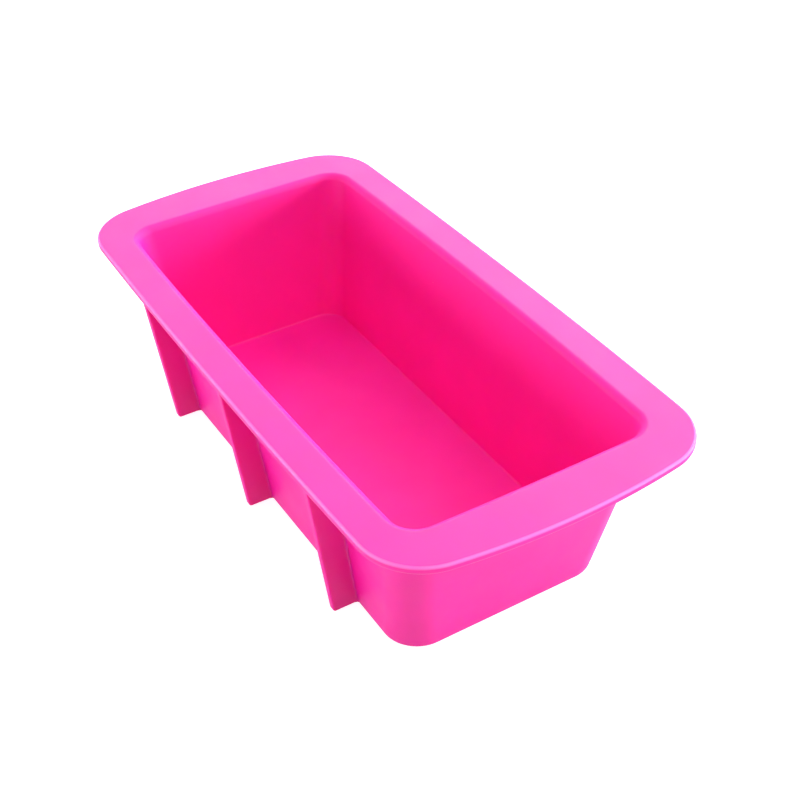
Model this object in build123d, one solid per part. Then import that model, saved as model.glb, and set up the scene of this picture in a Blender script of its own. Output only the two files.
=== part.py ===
from build123d import *
from math import radians, tan
import os

# Silicone loaf mould for soap, in millimetres.
# Origin: centre of the bottom face. +Z up, +X along the length, +Y across the width.
# The real mould is one moulding. Here each of its features is a solid of its own, and
# neighbours meet face to face: floor panel, tub wall, rim flange and six ribs.

# ---- Driving dimensions ----------------------------------------------------------------

# Overall size. The rim sets the length and width, the tub and rim together the height.
mould_length = 256.0
mould_width = 127.0
mould_height = 66.0

# Rim flange: a flat plate round the mouth. A bow is how far the middle of a side stands
# out past the side's two ends, before the corners are rounded.
rim_thickness = 3.0
rim_end_width = 21.8
rim_side_width = 14.6
rim_corner_radius = 23.0
rim_end_bow = 7.3
rim_side_bow = 2.0
rim_top_round = 1.6
rim_underside_round = 0.8

# Mouth of the cavity, at the rim's top face. Its inner edge is rounded down to a narrow
# straight land just above the rim's underside.
mouth_corner_radius = 9.5
mouth_end_bow = 0.6
mouth_side_bow = 2.7
mouth_edge_land = 0.4

# Tub: walls drafted in degrees from upright, measured at the middle of each side. The
# wall's thickness is measured level.
wall_thickness = 3.0
end_draft = 10.0
side_draft = 8.7
floor_thickness = 3.0
floor_corner_radius = 10.0
floor_cove_radius = 4.0
foot_edge_round = 1.0

# The wall starts a little above the floor's top face, part of the way up the cove, so
# that neither solid ends in a feather edge.
wall_joint_rise = 0.4

# Ribs: upright plates between each long wall and the rim's underside
rib_thickness = 3.0
rib_end_margin = 32.3
rib_foot_depth = 9.9
rib_rim_setback = 3.0
rib_foot_round = 1.5
rib_edge_round = 0.6

# ---- Values that follow ----------------------------------------------------------------

rim_underside = mould_height - rim_thickness
cavity_depth = mould_height - floor_thickness
wall_joint = floor_thickness + wall_joint_rise

mouth_length = mould_length - 2 * rim_end_width
mouth_width = mould_width - 2 * rim_side_width
mouth_edge_round = rim_thickness - mouth_edge_land

floor_length = mouth_length - 2 * cavity_depth * tan(radians(end_draft))
floor_width = mouth_width - 2 * cavity_depth * tan(radians(side_draft))

foot_length = floor_length + 2 * (wall_thickness - floor_thickness * tan(radians(end_draft)))
foot_width = floor_width + 2 * (wall_thickness - floor_thickness * tan(radians(side_draft)))

rib_spacing = foot_length / 2 - rib_end_margin
rib_foot_reach = foot_width / 2 + rib_foot_depth
rib_head_reach = mould_width / 2 - rib_rim_setback


# ---- Outlines --------------------------------------------------------------------------


def side(start, middle, end, bow):
    """One side of an outline: an arc through its middle, or a line when it has no bow."""
    if bow > 0:
        return ThreePointArc(start, middle, end)
    return Line(start, end)


def bowed_rectangle(height, length, width, end_bow, side_bow, corner_radius):
    """A rounded rectangle at a height, with bowed sides. Length and width are its overall
    size, at the middles of its sides."""
    x = length / 2
    y = width / 2
    front_left = (-x + end_bow, -y + side_bow)
    front_right = (x - end_bow, -y + side_bow)
    rear_right = (x - end_bow, y - side_bow)
    rear_left = (-x + end_bow, y - side_bow)
    with BuildSketch(Plane.XY.offset(height)) as outline:
        with BuildLine():
            side(front_left, (0, -y), front_right, side_bow)
            side(front_right, (x, 0), rear_right, end_bow)
            side(rear_right, (0, y), rear_left, side_bow)
            side(rear_left, (-x, 0), front_left, end_bow)
        make_face()
        fillet(outline.vertices(), corner_radius)
    return outline.sketch


def floor_outline(height, length, width, thickness):
    """The tub's straight-sided outline at its foot, a thickness outside the cavity."""
    return bowed_rectangle(height, length, width, 0.0, 0.0, floor_corner_radius + thickness)


def mouth_outline(thickness):
    """The tub's bowed outline at the rim's top face, a thickness outside the cavity."""
    return bowed_rectangle(
        mould_height,
        mouth_length + 2 * thickness,
        mouth_width + 2 * thickness,
        mouth_end_bow,
        mouth_side_bow,
        mouth_corner_radius + thickness,
    )


# ---- Bodies that the pieces are cut from -----------------------------------------------


def slab(low, high):
    """A block wider than the mould, between two heights."""
    centred_on_low = (Align.CENTER, Align.CENTER, Align.MIN)
    return Pos(0, 0, low) * Box(2 * mould_length, 2 * mould_width, high - low, align=centred_on_low)


def cavity():
    """The space that the soap fills, with a cove where the walls meet the floor."""
    bottom = floor_outline(floor_thickness, floor_length, floor_width, 0.0)
    space = loft([bottom, mouth_outline(0.0)], ruled=True)
    return fillet(space.edges().group_by(Axis.Z)[0], floor_cove_radius)


def tub_block():
    """The tub's outside as a solid block, from the face it stands on to the rim's top."""
    bottom = floor_outline(0.0, foot_length, foot_width, wall_thickness)
    return loft([bottom, mouth_outline(wall_thickness)], ruled=True)


# ---- Pieces ----------------------------------------------------------------------------


def floor_panel(block, space):
    """Flat bottom of the tub, up to the joint part of the way up the cove."""
    panel = (block & slab(0.0, wall_joint)) - space
    return fillet(panel.edges().group_by(Axis.Z)[0], foot_edge_round)


def tub_wall(block, space):
    """Drafted wall ring, from the joint at the floor to the rim's underside."""
    return (block & slab(wall_joint, rim_underside)) - space


def rim_flange(space):
    """Flat rim round the mouth. Both of its top edges are well rounded, so that it's soft to
    lift by, and the outer edge of its underside only lightly."""
    outline = bowed_rectangle(
        rim_underside, mould_length, mould_width, rim_end_bow, rim_side_bow, rim_corner_radius
    )
    plate = extrude(outline, rim_thickness)
    plate = fillet(plate.edges().group_by(Axis.Z)[-1], rim_top_round)
    plate = fillet(plate.edges().group_by(Axis.Z)[0], rim_underside_round)
    ring = plate - space
    mouth_edges = ring.faces().sort_by(Axis.Z)[-1].inner_wires()[0].edges()
    return fillet(mouth_edges, mouth_edge_round)


def rib(position, block):
    """Upright plate on the rear wall, from the level that the mould stands on to the rim's
    underside. Its outer edge leans with the wall, and its inner one is cut by the wall."""
    inside = floor_width / 4
    with BuildSketch(Plane.YZ.offset(position - rib_thickness / 2)) as profile:
        with BuildLine():
            Polyline(
                (inside, 0.0),
                (rib_foot_reach, 0.0),
                (rib_head_reach, rim_underside),
                (inside, rim_underside),
                close=True,
            )
        make_face()
    plate = extrude(profile.sketch, rib_thickness) - block
    foot_edges = plate.edges().filter_by(Axis.X).group_by(Axis.Z)[0]
    plate = fillet(foot_edges.sort_by(Axis.Y)[-1], rib_foot_round)
    long_edges = plate.edges().filter_by(lambda edge: edge.length > rib_thickness + 1e-3)
    return fillet(long_edges.sort_by(Axis.Y)[-2:], rib_edge_round)


# ---- Build and export ------------------------------------------------------------------

block = tub_block()
space = cavity()
pieces = {
    "floor_panel": floor_panel(block, space),
    "tub_wall": tub_wall(block, space),
    "rim_flange": rim_flange(space),
}
left_rib = rib(-rib_spacing, block)
middle_rib = rib(0.0, block)
right_rib = mirror(left_rib, about=Plane.YZ)
for place, rear_rib in (("left", left_rib), ("middle", middle_rib), ("right", right_rib)):
    pieces[f"rib_rear_{place}"] = rear_rib
    pieces[f"rib_front_{place}"] = mirror(rear_rib, about=Plane.XZ)

os.makedirs("parts", exist_ok=True)
for name, piece in pieces.items():
    export_step(piece, f"parts/{name}.step")
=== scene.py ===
from math import atan, cos, pi, radians, sin, tan

import bpy
import numpy as np
from mathutils import Matrix, Vector


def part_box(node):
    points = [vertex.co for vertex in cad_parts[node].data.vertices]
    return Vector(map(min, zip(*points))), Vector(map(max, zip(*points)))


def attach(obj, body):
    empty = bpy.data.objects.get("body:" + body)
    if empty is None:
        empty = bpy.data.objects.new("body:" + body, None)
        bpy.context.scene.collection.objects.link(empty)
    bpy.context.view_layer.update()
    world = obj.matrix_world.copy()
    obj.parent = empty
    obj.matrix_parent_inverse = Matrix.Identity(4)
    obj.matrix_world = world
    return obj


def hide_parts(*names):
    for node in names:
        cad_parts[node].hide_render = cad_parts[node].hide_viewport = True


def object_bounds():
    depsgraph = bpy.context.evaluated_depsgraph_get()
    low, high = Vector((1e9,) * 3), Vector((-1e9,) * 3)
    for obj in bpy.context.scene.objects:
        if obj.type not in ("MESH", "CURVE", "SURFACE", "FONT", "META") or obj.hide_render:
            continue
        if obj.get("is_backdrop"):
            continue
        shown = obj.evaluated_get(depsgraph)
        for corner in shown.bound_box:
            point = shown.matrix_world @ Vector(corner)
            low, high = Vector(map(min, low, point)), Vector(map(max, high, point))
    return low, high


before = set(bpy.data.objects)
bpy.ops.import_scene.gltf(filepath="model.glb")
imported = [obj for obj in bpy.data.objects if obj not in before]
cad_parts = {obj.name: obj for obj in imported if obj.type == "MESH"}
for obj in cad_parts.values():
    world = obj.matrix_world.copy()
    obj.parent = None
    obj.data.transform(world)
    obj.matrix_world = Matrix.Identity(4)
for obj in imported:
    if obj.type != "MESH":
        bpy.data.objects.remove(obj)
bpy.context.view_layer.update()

# ==== Mould skin ========================================================================
# The tub and its rim are one shot of silicone rubber, pressed in a two-part tool, so floor,
# walls and rim share one unbroken skin 3 mm thick. Only the floor, wall and rim of the frame
# are replaced by it: the ribs are skins of their own, further down.

mm = 0.001

rim_low, rim_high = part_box("rim_flange")

mould_length = rim_high.x - rim_low.x
mould_width = rim_high.y - rim_low.y
mould_height = rim_high.z
rim_underside = rim_low.z

rim_end_width = 21.8 * mm
rim_side_width = 14.6 * mm
rim_corner_radius = 23.0 * mm
rim_end_bow = 2.95 * mm
rim_side_bow = 1.42 * mm
rim_top_round = 1.1 * mm
rim_bottom_round = 0.9 * mm

mouth_length = mould_length - 2 * rim_end_width
mouth_width = mould_width - 2 * rim_side_width
mouth_corner_radius = 9.0 * mm
mouth_end_bow = 0.33 * mm
mouth_side_bow = 1.6 * mm
mouth_edge_round = 3.2 * mm
nearly_level = radians(13)

rim_root_round = 1.2 * mm

wall_thickness = 3.0 * mm
floor_thickness = 3.0 * mm
floor_corner_radius = 10.0 * mm
floor_cove_radius = 0.9 * mm
foot_edge_round = 1.0 * mm
end_draft = radians(10.0)
side_draft = radians(8.7)
mean_draft = (end_draft + side_draft) / 2

# Soft rubber never stands quite square, and its rim is trimmed a little off centre: this is
# how far the mouth's middle is off the rim's, and how far the foot then leans from there.
mouth_shift = np.array([0.5, -0.35]) * mm
foot_lean = np.array([-1.25, -1.6]) * mm

floor_length = mouth_length - 2 * (mould_height - floor_thickness) * tan(end_draft)
floor_width = mouth_width - 2 * (mould_height - floor_thickness) * tan(side_draft)


def outline(length, width, radius, end_bow, side_bow, along=44, across=28, round_corner=22):
    """Closed outline of a rounded rectangle with bowed sides, as (points, 2), anticlockwise.
    Each side is the parabola through its two ends that stands out by its bow, pushed out
    along its own normal by the corner radius. Each corner is the arc between the normals of
    the two sides it joins. Half of it is worked out, and the other half is that turned
    through half a turn. The number of points never changes, so outlines can be joined."""
    a = length / 2 - end_bow - radius
    b = width / 2 - side_bow - radius
    end_turn = atan(2 * end_bow / b)
    side_turn = atan(2 * side_bow / a)

    s = np.linspace(-1, 1, across + 1)
    end_normal = np.stack([np.ones_like(s), 2 * end_bow * s / b], 1)
    end_normal /= np.linalg.norm(end_normal, axis=1)[:, None]
    end = np.stack([a + end_bow * (1 - s * s), b * s], 1) + radius * end_normal

    t = np.linspace(end_turn, pi / 2 - side_turn, round_corner + 1)[1:-1]
    corner = np.stack([a + radius * np.cos(t), b + radius * np.sin(t)], 1)

    s = np.linspace(1, -1, along + 1)
    side_normal = np.stack([2 * side_bow * s / a, np.ones_like(s)], 1)
    side_normal /= np.linalg.norm(side_normal, axis=1)[:, None]
    side = np.stack([a * s, b + side_bow * (1 - s * s)], 1) + radius * side_normal

    other_corner = corner[::-1] * [-1, 1]
    half = np.concatenate([end, corner, side, other_corner])
    return np.concatenate([half, -half])


def tub_outline(height, outwards):
    """The tub's outline at a height, a distance outside the cavity's wall. Every size runs
    evenly from the floor to the mouth."""
    share = (height - floor_thickness) / (mould_height - floor_thickness)
    return mouth_shift + outline(
        floor_length + share * (mouth_length - floor_length) + 2 * outwards,
        floor_width + share * (mouth_width - floor_width) + 2 * outwards,
        floor_corner_radius + share * (mouth_corner_radius - floor_corner_radius) + outwards,
        max(share, 0) * mouth_end_bow,
        max(share, 0) * mouth_side_bow,
    )


def rim_outline(inwards):
    """The rim's outline, a distance inside its edge."""
    return outline(
        mould_length - 2 * inwards,
        mould_width - 2 * inwards,
        rim_corner_radius - inwards,
        rim_end_bow,
        rim_side_bow,
    )


def ring(points, height):
    """An outline lifted to a height."""
    return np.column_stack([points, np.full(len(points), height)])


def soft_shape(points):
    """Moves points as the soft moulding does: the foot leans off the rim's centre, evenly
    with depth below the rim, which dips by up to a third of a millimetre in long waves."""
    x, y, z = points[..., 0], points[..., 1], points[..., 2]
    depth = np.clip(1 - z / rim_underside, 0, 1)
    wave = (
        0.07 * np.sin(23 * x + 1.1)
        + 0.05 * np.sin(41 * x - 19 * y + 0.4)
        + 0.04 * np.sin(57 * y + 31 * x + 2.0)
    )
    dip = (wave - 0.16) * mm * np.clip(1 - 2.2 * depth, 0, 1)
    return np.stack([x + foot_lean[0] * depth, y + foot_lean[1] * depth, z + dip], -1)


def quarter(start, end, steps):
    """Angles along an edge rounding, without the first one."""
    return np.linspace(start, end, steps + 1)[1:]


def skin_rings():
    """The skin's section carried round the mould, as a stack of rings: from the middle of the
    floor outwards, up the inside, over the rim, down the outside and in under the bottom.
    With it come two shares for each ring: how much painted highlight it gets, and how matt."""
    rings, edge_highlights, matt = [], [], []

    def lay(points, highlight=0.0, dull=0.0):
        rings.append(points)
        edge_highlights.append(highlight)
        matt.append(dull)

    # Floor and cove: the cove is an arc tangent to the floor and to the drafted wall.
    reach = floor_cove_radius * tan(pi / 4 - mean_draft / 2)
    floor_edge = tub_outline(floor_thickness, -reach)
    for share in (0.02, 0.12, 0.3, 0.5, 0.7, 0.85, 0.94, 0.98, 1.0):
        lay(ring(share * floor_edge, floor_thickness), dull=1.0)
    for angle in quarter(0, pi / 2 - mean_draft, 10):
        rise = floor_cove_radius * (1 - cos(angle))
        inset = reach - floor_cove_radius * sin(angle) + rise * tan(mean_draft)
        height = floor_thickness + rise
        lay(ring(tub_outline(height, -inset), height), dull=1.0)

    # Inside of the wall, up to the rounded edge of the mouth, which is matt until it lies
    # nearly level
    reach = mouth_edge_round * tan(pi / 4 - mean_draft / 2)
    top = mould_height - mouth_edge_round * (1 - sin(mean_draft))
    for height in np.linspace(rings[-1][0, 2], top, 22)[1:-1]:
        lay(ring(tub_outline(height, 0), height), dull=1.0)
    for angle in np.linspace(pi / 2 - mean_draft, 0, 16):
        fall = mouth_edge_round * (1 - cos(angle))
        outset = reach - mouth_edge_round * sin(angle) + fall * tan(mean_draft)
        height = mould_height - fall
        lay(ring(tub_outline(height, outset), height), dull=float(angle > nearly_level))

    # Rim: flat top, rounded outer edges paled by a painted highlight, strongest at their
    # middles, upright side and flat underside
    mouth_edge = rings[-1]
    top_edge = ring(rim_outline(rim_top_round), mould_height)
    for share in (0.03, 0.12, 0.3, 0.5, 0.7, 0.88, 0.97, 1.0):
        lay(mouth_edge + share * (top_edge - mouth_edge))
    for angle in quarter(0, pi / 2, 10):
        height = mould_height - rim_top_round * (1 - cos(angle))
        lay(ring(rim_outline(rim_top_round * (1 - sin(angle))), height), highlight=sin(2 * angle))
    lay(ring(rim_outline(0), (mould_height + rim_underside) / 2))
    # The lower rounded edge gets a weaker painted highlight
    for angle in quarter(pi / 2, 0, 6):
        height = rim_underside + rim_bottom_round * (1 - cos(angle))
        inwards = rim_bottom_round * (1 - sin(angle))
        lay(ring(rim_outline(inwards), height), highlight=0.4 * sin(2 * angle))

    # Underside of the rim to the outside of the wall, with a small fillet between them
    under_edge = rings[-1]
    root_edge = ring(tub_outline(rim_underside, wall_thickness + rim_root_round), rim_underside)
    for share in (0.04, 0.3, 0.65, 0.96, 1.0):
        lay(under_edge + share * (root_edge - under_edge))
    for angle in quarter(0, pi / 2, 6):
        height = rim_underside - rim_root_round * (1 - cos(angle))
        outset = wall_thickness + rim_root_round * (1 - sin(angle))
        lay(ring(tub_outline(height, outset), height))

    # Outside of the wall, rounded foot edge and bottom
    for height in np.linspace(rings[-1][0, 2], foot_edge_round, 22)[1:]:
        lay(ring(tub_outline(height, wall_thickness), height))
    for angle in quarter(0, pi / 2, 6):
        height = foot_edge_round * (1 - sin(angle))
        inset = foot_edge_round * (1 - cos(angle))
        lay(ring(tub_outline(height, wall_thickness - inset), height))
    foot_edge = rings[-1]
    for share in (0.98, 0.9, 0.7, 0.4, 0.12, 0.02):
        lay(foot_edge * [share, share, 1])
    return np.array(rings), np.array(edge_highlights), np.array(matt)


def closed_skin(name, rings):
    """A closed mesh from a stack of rings, as (rings, points, 3): quads between neighbouring
    rings, and a fan to a point in the middle of the first and of the last ring."""
    count, around = rings.shape[:2]
    i, j = np.meshgrid(np.arange(count - 1), np.arange(around), indexing="ij")
    nxt = (j + 1) % around
    here, above = i * around, (i + 1) * around
    quads = np.stack([here + j, here + nxt, above + nxt, above + j], -1).reshape(-1, 4)
    first, last = count * around, count * around + 1
    j = np.arange(around)
    nxt = (j + 1) % around
    start = np.stack([np.full(around, first), nxt, j], 1)
    end_row = (count - 1) * around
    end = np.stack([np.full(around, last), end_row + j, end_row + nxt], 1)
    points = np.concatenate([rings.reshape(-1, 3), rings[:1].mean(1), rings[-1:].mean(1)])
    mesh = bpy.data.meshes.new(name)
    mesh.from_pydata(points.tolist(), [], quads.tolist() + start.tolist() + end.tolist())
    mesh.shade_smooth()
    mesh.update()
    piece = bpy.data.objects.new(name, mesh)
    bpy.context.collection.objects.link(piece)
    return piece


def silicone():
    """Pigmented silicone rubber: satin, a little translucent, with the fine grain of the
    press tool, a gentle unevenness, a painted highlight that pales the rim's edges, a duller
    inside, a few specks of dust, and pigment that isn't quite even."""
    material = bpy.data.materials.new("pink_silicone")
    material.use_nodes = True
    tree = material.node_tree
    shader = tree.nodes["Principled BSDF"]
    shader.inputs["IOR"].default_value = 1.5
    shader.inputs["Subsurface Weight"].default_value = 1.0
    shader.inputs["Subsurface Radius"].default_value = (1.0, 0.25, 0.8)
    shader.inputs["Subsurface Scale"].default_value = 0.0012

    def add(kind, **values):
        node = tree.nodes.new(kind)
        for name, value in values.items():
            setattr(node, name, value)
        return node

    place = add("ShaderNodeTexCoord").outputs["Object"]

    def noise(size, detail=2.0, rough=0.5):
        """Soft noise whose blotches are about this size."""
        node = add("ShaderNodeTexNoise")
        node.inputs["Scale"].default_value = 1 / size
        node.inputs["Detail"].default_value = detail
        node.inputs["Roughness"].default_value = rough
        tree.links.new(place, node.inputs["Vector"])
        return node.outputs["Fac"]

    def fit(value, low, high, to_low, to_high):
        """A value carried from one range to another, held at its ends."""
        node = add("ShaderNodeMapRange")
        tree.links.new(value, node.inputs["Value"])
        node.inputs["From Min"].default_value = low
        node.inputs["From Max"].default_value = high
        node.inputs["To Min"].default_value = to_low
        node.inputs["To Max"].default_value = to_high
        return node.outputs["Result"]

    def blend(share, under, over):
        """One colour over another, by a share from 0 to 1."""
        node = add("ShaderNodeMix", data_type="RGBA")
        tree.links.new(share, node.inputs["Factor"])
        for name, colour in (("A", under), ("B", over)):
            socket = next(s for s in node.inputs if s.name == name and s.type == "RGBA")
            if isinstance(colour, tuple):
                socket.default_value = colour
            else:
                tree.links.new(colour, socket)
        return next(s for s in node.outputs if s.type == "RGBA")

    def combine(operation, first, second):
        """Two values, or a value and a number, put through one sum."""
        node = add("ShaderNodeMath", operation=operation)
        for socket, value in zip(node.inputs, (first, second)):
            if isinstance(value, float):
                socket.default_value = value
            else:
                tree.links.new(value, socket)
        return node.outputs["Value"]

    # Pigment: two close pinks in soft clouds
    clouds = fit(noise(22 * mm, 3.0), 0.3, 0.7, 0, 1)
    colour = blend(clouds, (0.86, 0.001, 0.330, 1), (0.90, 0.0012, 0.355, 1))

    # Dust: a few faint specks, pale and dark, each in some cells only
    for cell, reach, shade, chance in (
        (19 * mm, 0.014, (0.95, 0.35, 0.62, 1), 0.55),
        (31 * mm, 0.009, (0.30, 0.0, 0.06, 1), 0.60),
    ):
        specks = add("ShaderNodeTexVoronoi")
        specks.inputs["Scale"].default_value = 1 / cell
        tree.links.new(place, specks.inputs["Vector"])
        spot = fit(specks.outputs["Distance"], reach, 0.5 * reach, 0, 1)
        lot = add("ShaderNodeSeparateColor")
        tree.links.new(specks.outputs["Color"], lot.inputs["Color"])
        kept = combine("GREATER_THAN", lot.outputs["Red"], chance)
        colour = blend(fit(combine("MULTIPLY", spot, kept), 0, 1, 0, 0.35), colour, shade)

    # Painted highlight: the rim's rounded edges are made paler, standing in for the light they
    # catch
    edge = add("ShaderNodeAttribute", attribute_name="painted_edge_highlight").outputs["Fac"]
    colour = blend(fit(edge, 0.1, 1, 0, 0.7), colour, (1.0, 0.28, 0.74, 1))
    tree.links.new(colour, shader.inputs["Base Color"])

    # Satin, a little glossier in soft patches, and duller on the inside, which the core of
    # the tool leaves matt
    satin = fit(noise(14 * mm, 3.0), 0.3, 0.7, 0.42, 0.48)
    inside = add("ShaderNodeAttribute", attribute_name="matt_inside").outputs["Fac"]
    satin = combine("ADD", satin, fit(inside, 0, 1, 0, 0.18))
    tree.links.new(satin, shader.inputs["Roughness"])

    # Relief: soft unevenness of the sheet, then the tool's fine grain on top of it
    soft = add("ShaderNodeBump")
    soft.inputs["Strength"].default_value = 1.0
    soft.inputs["Distance"].default_value = 0.10 * mm
    tree.links.new(noise(30 * mm, 1.0), soft.inputs["Height"])
    grain = add("ShaderNodeBump")
    grain.inputs["Strength"].default_value = 1.0
    grain.inputs["Distance"].default_value = 0.012 * mm
    tree.links.new(noise(0.45 * mm, 3.0, 0.6), grain.inputs["Height"])
    tree.links.new(soft.outputs["Normal"], grain.inputs["Normal"])
    tree.links.new(grain.outputs["Normal"], shader.inputs["Normal"])
    return material


# The stack is turned over, so that the faces point outwards.
rings, edge_highlights, matt = skin_rings()
skin = closed_skin("mould_skin", soft_shape(rings[::-1]))
# Per-point shares: the painted edge highlight, and the matt inside
for name, shares in (("painted_edge_highlight", edge_highlights[::-1]), ("matt_inside", matt[::-1])):
    values = np.concatenate([np.repeat(shares, rings.shape[1]), shares[:1], shares[-1:]])
    skin.data.attributes.new(name, "FLOAT", "POINT").data.foreach_set("value", values)
pink_silicone = silicone()
skin.data.materials.append(pink_silicone)
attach(skin, "root")
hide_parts("floor_panel", "tub_wall", "rim_flange")

# ==== Ribs ==============================================================================
# Six upright plates, three under each long side of the rim, moulded in one with the wall.
# They prop the rim and keep the long walls from bulging when the mould is full.

rib_thickness = 3.0 * mm
rib_edge_round = 0.6 * mm
rib_foot_round = 1.0 * mm
rib_root_round = 0.7 * mm
rib_embed = 1.0 * mm
rib_foot_reach = 51.3 * mm
rib_head_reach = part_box("rib_rear_middle")[1].y


def rib_slice(height, middle, side_sign):
    """A level slice through a rib, as a closed ring. It starts inside the wall, flares out of
    it through a small fillet, runs out along one face, round the tip, and back."""
    half = rib_thickness / 2
    run = height / rim_underside
    tip = rib_foot_reach + run * (rib_head_reach - rib_foot_reach)
    low = max(rib_foot_round - height, 0)
    tip -= rib_foot_round - (rib_foot_round**2 - low**2) ** 0.5
    low = max(rib_edge_round - height, 0)
    shrink = rib_edge_round - (rib_edge_round**2 - low**2) ** 0.5
    high = max(height - (rim_underside - rib_root_round), 0)
    high = min(high, rib_root_round)
    grow = rib_root_round - (rib_root_round**2 - high**2) ** 0.5
    half += grow - shrink
    tip += grow
    share = (height - floor_thickness) / (mould_height - floor_thickness)
    wall_half = (floor_width + share * (mouth_width - floor_width)) / 2 + wall_thickness
    bow = max(share, 0) * mouth_side_bow
    flat_half = mouth_length / 2 - mouth_corner_radius
    root = wall_half - bow * (middle / flat_half) ** 2 + side_sign * mouth_shift[1]
    tip += side_sign * mouth_shift[1]

    turn = np.linspace(0, pi / 2, 7)
    flare_x = half + rib_root_round * (1 - np.sin(turn))
    flare_y = root + rib_root_round * (1 - np.cos(turn))
    face_y = np.linspace(flare_y[-1], tip - rib_edge_round, 8)[1:-1]
    edge_x = half - rib_edge_round * (1 - np.cos(turn))
    edge_y = tip - rib_edge_round * (1 - np.sin(turn))
    x = np.concatenate([[half + rib_root_round], flare_x, np.full(6, half), edge_x])
    y = np.concatenate([[root - rib_embed], flare_y, face_y, edge_y])
    x = np.concatenate([x, [0], -x[::-1]])
    y = np.concatenate([y, [tip], y[::-1]])
    points = np.column_stack([middle + x, side_sign * y, np.full(len(x), height)])
    return points if side_sign > 0 else points[::-1]


def rib_rings(middle, side_sign):
    """Slices from the foot to just inside the rim, closer together where edges are round."""
    foot = rib_foot_round * (1 - np.cos(np.linspace(0, pi / 2, 12)))
    middle_part = np.linspace(rib_foot_round, rim_underside - rib_root_round, 24)[1:]
    head = rim_underside - rib_root_round * (1 - np.sin(np.linspace(0, pi / 2, 8)))[1:]
    heights = np.concatenate([foot, middle_part, head, [rim_underside + rib_embed]])
    return np.array([rib_slice(h, middle, side_sign) for h in heights])


for row, side_sign in (("front", -1), ("rear", 1)):
    for place in ("left", "middle", "right"):
        node = f"rib_{row}_{place}"
        low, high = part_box(node)
        rib = closed_skin(f"{node}_skin", soft_shape(rib_rings((low.x + high.x) / 2, side_sign)))
        rib.data.materials.append(pink_silicone)
        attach(rib, "root")
        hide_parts(node)

# ==== Studio ============================================================================
# Staging, not part of the mould: a white light table, a dim surround, and soft lights from
# above, behind, in front and both sides.

bpy.ops.mesh.primitive_plane_add(size=6)
light_table = bpy.context.object
light_table.name = "light_table"

# The table is lit from inside: white to look at, and only dim as a light on the mould.
table_glow = 0.36
table_white = bpy.data.materials.new("table_white")
table_white.use_nodes = True
nodes, links = table_white.node_tree.nodes, table_white.node_tree.links
table_shader = nodes["Principled BSDF"]
table_shader.inputs["Base Color"].default_value = (0.5, 0.5, 0.5, 1)
table_shader.inputs["Roughness"].default_value = 0.9
table_shader.inputs["Emission Strength"].default_value = 1
glow = nodes.new("ShaderNodeMapRange")
glow.inputs["To Min"].default_value = table_glow
glow.inputs["To Max"].default_value = 0.9
links.new(nodes.new("ShaderNodeLightPath").outputs["Is Camera Ray"], glow.inputs["Value"])
links.new(glow.outputs["Result"], table_shader.inputs["Emission Color"])
light_table.data.materials.append(table_white)
light_table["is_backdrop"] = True

surround = bpy.data.worlds.new("studio_surround")
surround.use_nodes = True
surround_light = surround.node_tree.nodes["Background"]
surround_light.inputs["Color"].default_value = (1, 1, 1, 1)
surround_light.inputs["Strength"].default_value = 0.1
bpy.context.scene.world = surround

# Softboxes, all at one distance and turned to the mould's middle. Azimuth runs anticlockwise
# from the mould's right-hand end, which is +X.
softbox_distance = 2.2
softboxes = (
    # name, azimuth, elevation, width and height in degrees, radiance
    ("softbox_rear", 112, 26, 84, 24, 4.1),
    ("softbox_rear_left", 172, 23, 34, 22, 2.9),
    ("softbox_rear_high", 105, 48, 84, 22, 3.8),
    ("softbox_right", 55, 8, 38, 16, 17.0),
    ("softbox_top_right", 10, 60, 70, 30, 4.5),
    ("softbox_left_low", 250, 8, 90, 16, 5.2),
    ("softbox_upper_left", 185, 52, 70, 30, 1.3),
    ("softbox_front_left", 262, 36, 44, 24, 1.7),
)
for name, azimuth, elevation, wide, tall, radiance in softboxes:
    lamp = bpy.data.lights.new(name, "AREA")
    lamp.shape = "RECTANGLE"
    lamp.size = 2 * softbox_distance * tan(radians(wide) / 2) * cos(radians(elevation))
    lamp.size_y = 2 * softbox_distance * tan(radians(tall) / 2)
    lamp.energy = radiance * pi * lamp.size * lamp.size_y
    box = bpy.data.objects.new(name, lamp)
    a, e = radians(azimuth), radians(elevation)
    box.location = softbox_distance * Vector((cos(a) * cos(e), sin(a) * cos(e), sin(e)))
    aim = Vector((0, 0, mould_height / 2)) - box.location
    box.rotation_euler = aim.to_track_quat("-Z", "Y").to_euler()
    bpy.context.collection.objects.link(box)

# The camera stands off the front right-hand corner and looks down into the mould. Its azimuth
# runs from the front round to the right.
view_azimuth = radians(59.84)
view_elevation = radians(37.17)
view_roll = radians(-1.80)
view_distance = 0.5458
view_right = 0.01127
view_up = 0.02268
lens_mm = 62.37

back = Vector((
    sin(view_azimuth) * cos(view_elevation),
    -cos(view_azimuth) * cos(view_elevation),
    sin(view_elevation),
))
right = Vector((cos(view_azimuth), sin(view_azimuth), 0))
up = back.cross(right)
turned_right = cos(view_roll) * right + sin(view_roll) * up
turned_up = cos(view_roll) * up - sin(view_roll) * right
camera = bpy.data.objects.new("camera", bpy.data.cameras.new("camera"))
camera.data.lens = lens_mm
camera.data.sensor_width = 36
turn = Matrix((turned_right, turned_up, back)).transposed().to_4x4()
place = back * view_distance + turned_right * view_right + turned_up * view_up
camera.matrix_world = Matrix.Translation(place) @ turn
bpy.context.collection.objects.link(camera)
bpy.context.scene.camera = camera
bpy.context.scene.view_settings.view_transform = "Standard"

low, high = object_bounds()
